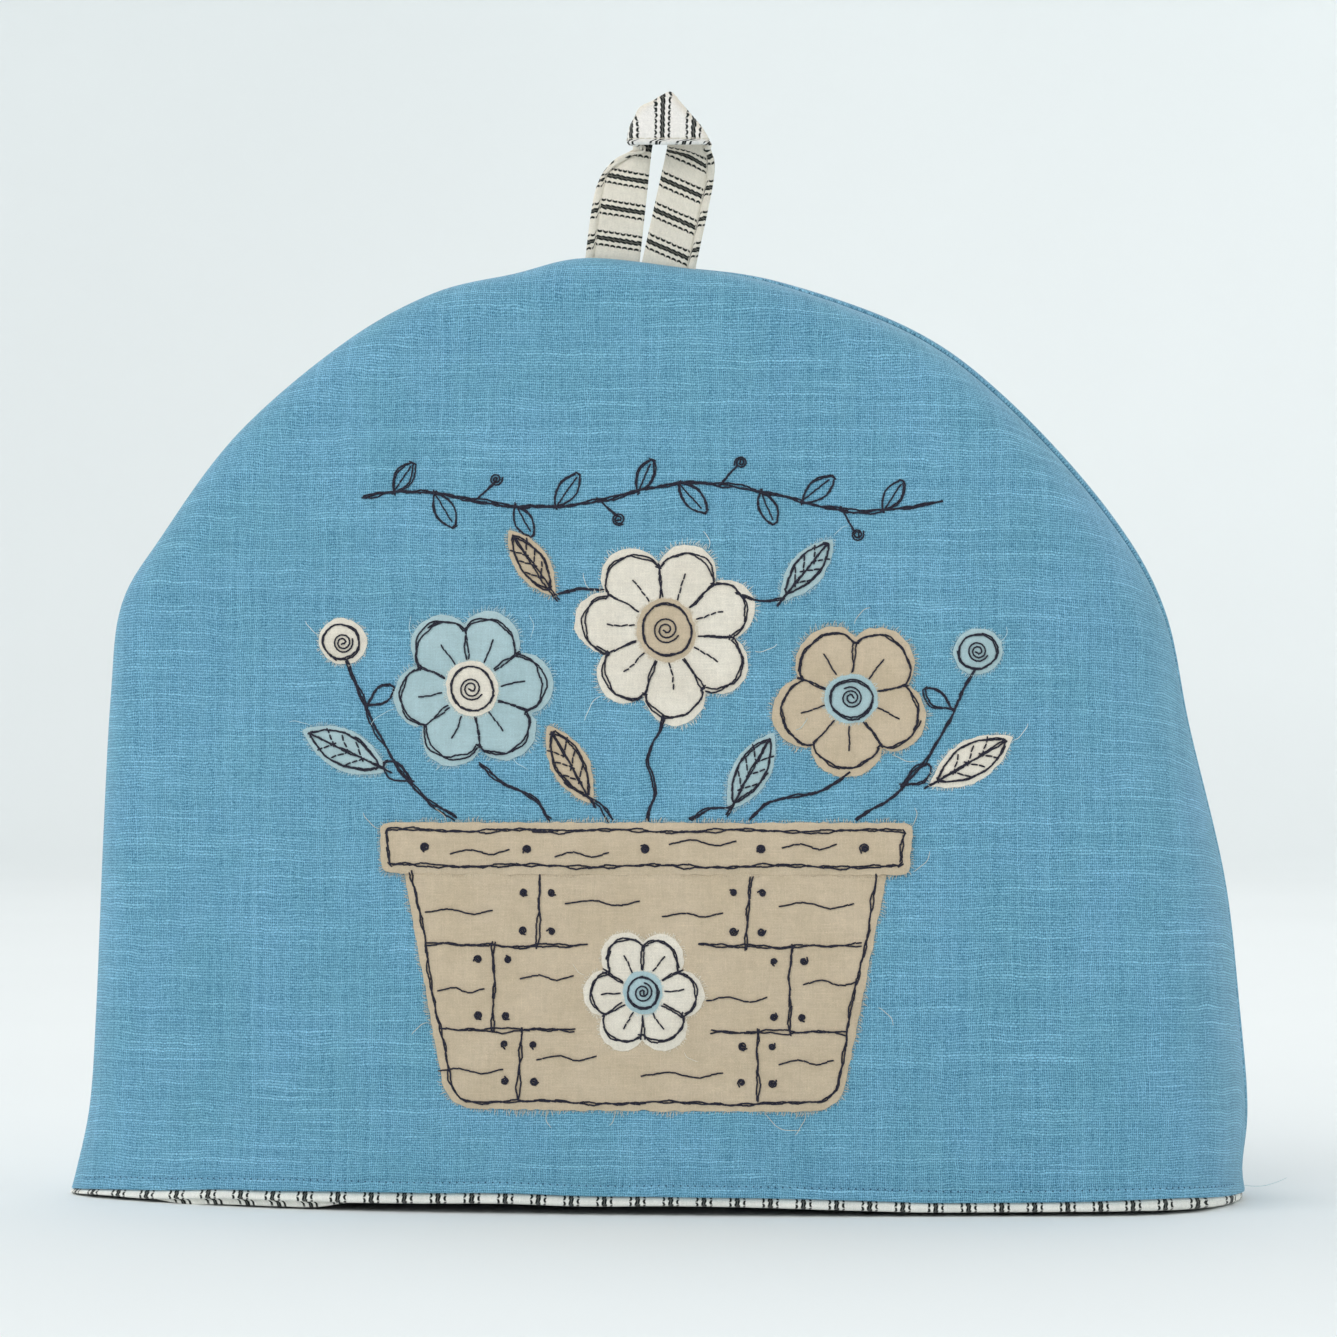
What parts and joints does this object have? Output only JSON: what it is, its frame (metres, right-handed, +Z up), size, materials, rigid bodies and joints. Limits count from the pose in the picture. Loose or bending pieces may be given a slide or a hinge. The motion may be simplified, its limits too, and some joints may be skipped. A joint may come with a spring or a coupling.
{
  "type": "tea cosy",
  "caption": "Dome-shaped padded linen tea cosy with a striped ticking hem facing, a folded ticking hanging loop and raw-edged cloth patches on the front.",
  "frame": {"origin": "on the surface the cosy stands on, under the middle of its outer box", "axes": "+X along the arched seam, to the right of the decorated front; +Y from the front to the back; +Z up"},
  "size_m": [0.3507, 0.1171, 0.3299],
  "materials": {
    "linen": "plain-weave slub linen, mid sky blue, matte",
    "ticking": "ecru cotton ticking with dark green-black stripe groups, matte",
    "beige_cloth": "plain beige cotton with raw edges, matte",
    "pale_blue_cloth": "plain pale blue-green cotton with raw edges, matte",
    "cream_cloth": "plain cream cotton with raw edges, matte"
  },
  "bodies": {
    "root": {"front_panel": "linen", "back_panel": "linen", "hem_facing": "ticking", "hanging_loop": "ticking", "planter": "beige_cloth", "planter_band": "beige_cloth", "flower_left": "pale_blue_cloth", "flower_middle": "cream_cloth", "flower_right": "beige_cloth", "flower_planter": "cream_cloth", "centre_left": "cream_cloth", "centre_middle": "beige_cloth", "centre_right": "pale_blue_cloth", "centre_planter": "pale_blue_cloth", "bud_left": "cream_cloth", "bud_right": "pale_blue_cloth", "leaf_1": "pale_blue_cloth", "leaf_2": "beige_cloth", "leaf_3": "pale_blue_cloth", "leaf_4": "cream_cloth", "leaf_5": "beige_cloth", "leaf_6": "pale_blue_cloth"}
  },
  "joints": []
}
